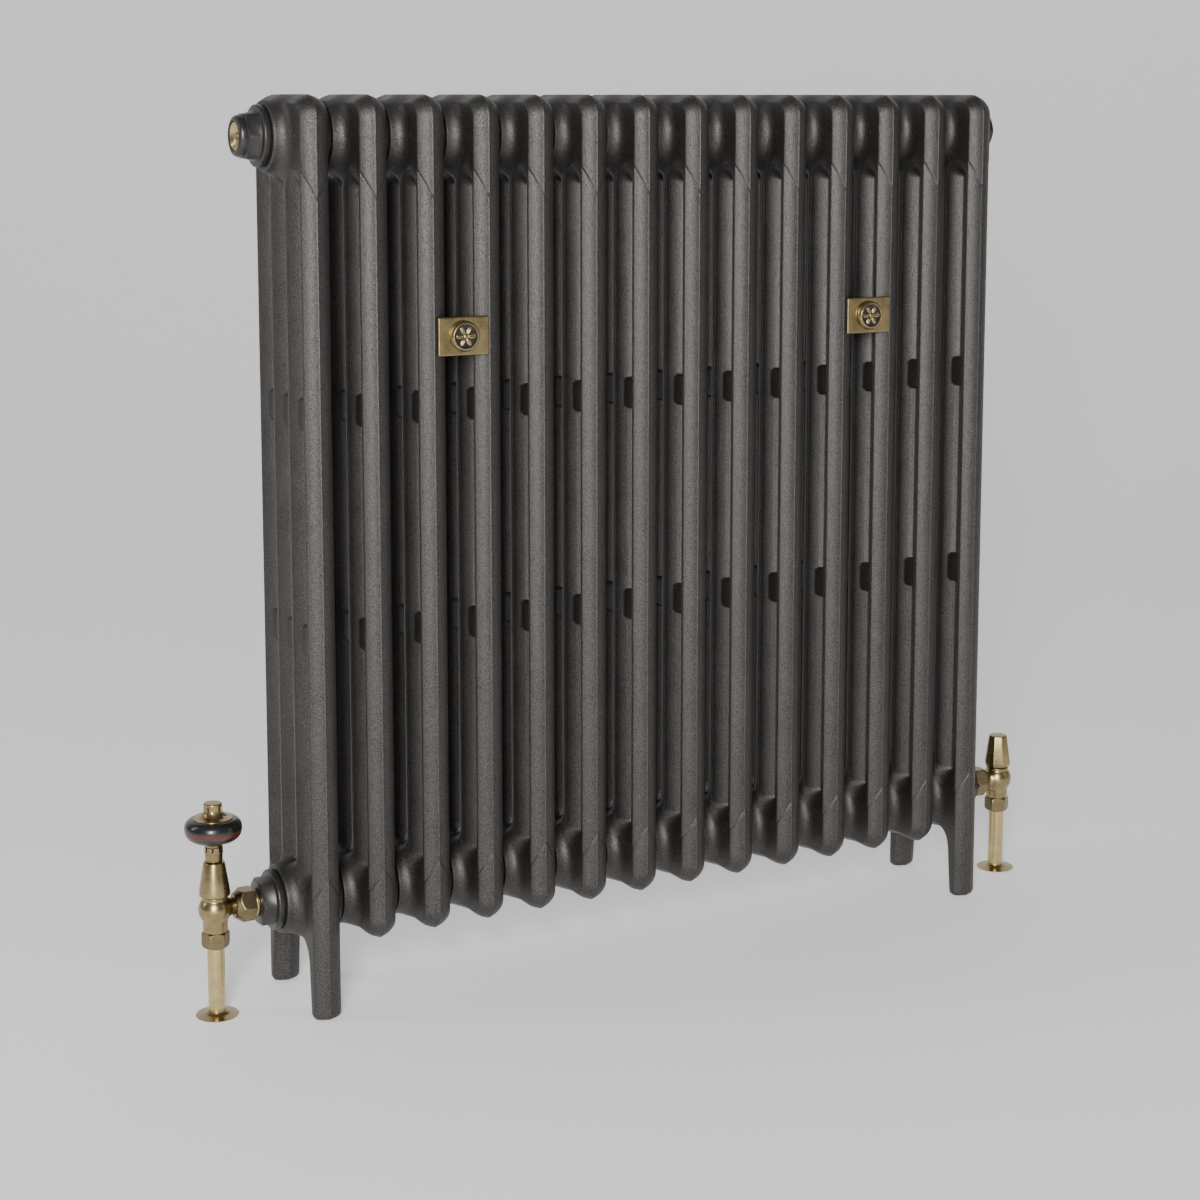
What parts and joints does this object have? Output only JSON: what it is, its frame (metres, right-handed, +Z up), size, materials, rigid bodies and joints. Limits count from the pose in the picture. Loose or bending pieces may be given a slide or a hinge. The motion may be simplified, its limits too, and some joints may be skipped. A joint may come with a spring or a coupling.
{
  "type": "cast iron radiator",
  "caption": "Floor-standing cast iron column radiator with legged end sections, angled pipe valves, a wooden-wheel thermostatic head, an air vent and wall stays.",
  "frame": {"origin": "centre of the footprint box, on the floor", "axes": "+Z up; +X along the row, from the thermostatic valve to the lockshield; -Y the front, +Y the wall"},
  "size_m": [1.0686, 0.1982, 0.96],
  "materials": {
    "cast_iron": "burnished gunmetal coating on sand-cast iron",
    "painted_bush": "the same coating on smooth machined bushes",
    "nipple_iron": "bare malleable iron",
    "gasket": "black fibre and rubber",
    "antique_brass": "brushed antique brass",
    "bronze_nut": "darker brushed bronze",
    "satin_brass": "light satin brass",
    "copper": "copper tube",
    "black_gloss": "polished black lacquer",
    "mahogany": "polished dark mahogany",
    "dark_steel": "zinc plated steel",
    "pin_steel": "ground stainless steel"
  },
  "bodies": {
    "radiator": {"blank_plug": "painted_bush", "bottom_nipples": "nipple_iron", "bush_gaskets": "gasket", "flow_bush": "painted_bush", "flow_floor_rose": "antique_brass", "flow_pipe": "copper", "flow_sleeve": "satin_brass", "hub_gaskets": "gasket", "left_stay_rod": "dark_steel", "left_stay_wall_plate": "dark_steel", "lockshield_body": "antique_brass", "lockshield_compression_nut": "bronze_nut", "lockshield_gland_nut": "antique_brass", "lockshield_olive": "antique_brass", "lockshield_tail": "antique_brass", "lockshield_union_nut": "bronze_nut", "return_bush": "painted_bush", "return_floor_rose": "antique_brass", "return_pipe": "copper", "return_sleeve": "satin_brass", "right_stay_rod": "dark_steel", "right_stay_wall_plate": "dark_steel", "section_01": "cast_iron", "section_02": "cast_iron", "section_03": "cast_iron", "section_04": "cast_iron", "section_05": "cast_iron", "section_06": "cast_iron", "section_07": "cast_iron", "section_08": "cast_iron", "section_09": "cast_iron", "section_10": "cast_iron", "section_11": "cast_iron", "section_12": "cast_iron", "section_13": "cast_iron", "section_14": "cast_iron", "top_nipples": "nipple_iron", "trv_body": "antique_brass", "trv_bonnet": "antique_brass", "trv_collar": "antique_brass", "trv_compression_nut": "bronze_nut", "trv_lock_ring": "antique_brass", "trv_olive": "antique_brass", "trv_tail": "antique_brass", "trv_union_nut": "bronze_nut", "vent_body": "painted_bush", "vent_bush": "painted_bush"},
    "trv_head": {"trv_head_core": "antique_brass", "trv_head_under_ring": "black_gloss", "trv_head_wood_band": "mahogany", "trv_head_black_ring": "black_gloss"},
    "trv_pin": {"trv_pin": "pin_steel"},
    "vent_screw": {"vent_screw": "antique_brass"},
    "lockshield_cap": {"lockshield_cap": "antique_brass"},
    "lockshield_spindle": {"lockshield_spindle": "antique_brass"},
    "lockshield_plug": {"lockshield_plug": "antique_brass"},
    "left_stay_plate": {"left_stay_plate": "antique_brass"},
    "left_stay_knob": {"left_stay_knob": "antique_brass"},
    "right_stay_plate": {"right_stay_plate": "antique_brass"},
    "right_stay_knob": {"right_stay_knob": "antique_brass"}
  },
  "joints": [
    {"name": "trv_head_turn", "type": "hinge", "parent": "radiator", "child": "trv_head", "pos_m": [-0.50425, -0.01591, 0.203], "axis": [0, 0, 1], "range_deg": [-150, 150]},
    {"name": "trv_pin_slide", "type": "slide", "parent": "radiator", "child": "trv_pin", "axis": [0, 0, 1], "range_m": [-0.00151, 0.00151]},
    {"name": "vent_screw_turn", "type": "hinge", "parent": "radiator", "child": "vent_screw", "pos_m": [-0.45875, -0.01591, 0.918], "axis": [-1, 0, 0], "range_deg": [0, 360]},
    {"name": "lockshield_cap_lift", "type": "slide", "parent": "radiator", "child": "lockshield_cap", "axis": [0, 0, 1], "range_m": [0, 0.045]},
    {"name": "lockshield_spindle_turn", "type": "hinge", "parent": "radiator", "child": "lockshield_spindle", "pos_m": [0.51175, -0.01591, 0.148], "axis": [0, 0, 1], "range_deg": [-1260.2, 0]},
    {"name": "lockshield_plug_slide", "type": "slide", "parent": "radiator", "child": "lockshield_plug", "axis": [0, 0, 1], "range_m": [-0.0035, 0]},
    {"name": "left_stay_slide", "type": "slide", "parent": "radiator", "child": "left_stay_plate", "axis": [0, -1, 0], "range_m": [0, 0.0125]},
    {"name": "left_stay_knob_turn", "type": "hinge", "parent": "left_stay_plate", "child": "left_stay_knob", "pos_m": [-0.24825, -0.09909, 0.712], "axis": [0, -1, 0], "range_deg": [0, 3600.2]},
    {"name": "right_stay_slide", "type": "slide", "parent": "radiator", "child": "right_stay_plate", "axis": [0, -1, 0], "range_m": [0, 0.0125]},
    {"name": "right_stay_knob_turn", "type": "hinge", "parent": "right_stay_plate", "child": "right_stay_knob", "pos_m": [0.25575, -0.09909, 0.712], "axis": [0, -1, 0], "range_deg": [0, 3600.2]}
  ],
  "couplings": [
    {"joint": "trv_pin_slide", "follows": "trv_head_turn", "m_per_rad": 0.00057296},
    {"joint": "lockshield_spindle_turn", "follows": "lockshield_plug_slide", "rad_per_m": 6283.2},
    {"joint": "left_stay_knob_turn", "follows": "left_stay_slide", "rad_per_m": 5026.5},
    {"joint": "right_stay_knob_turn", "follows": "right_stay_slide", "rad_per_m": 5026.5}
  ]
}
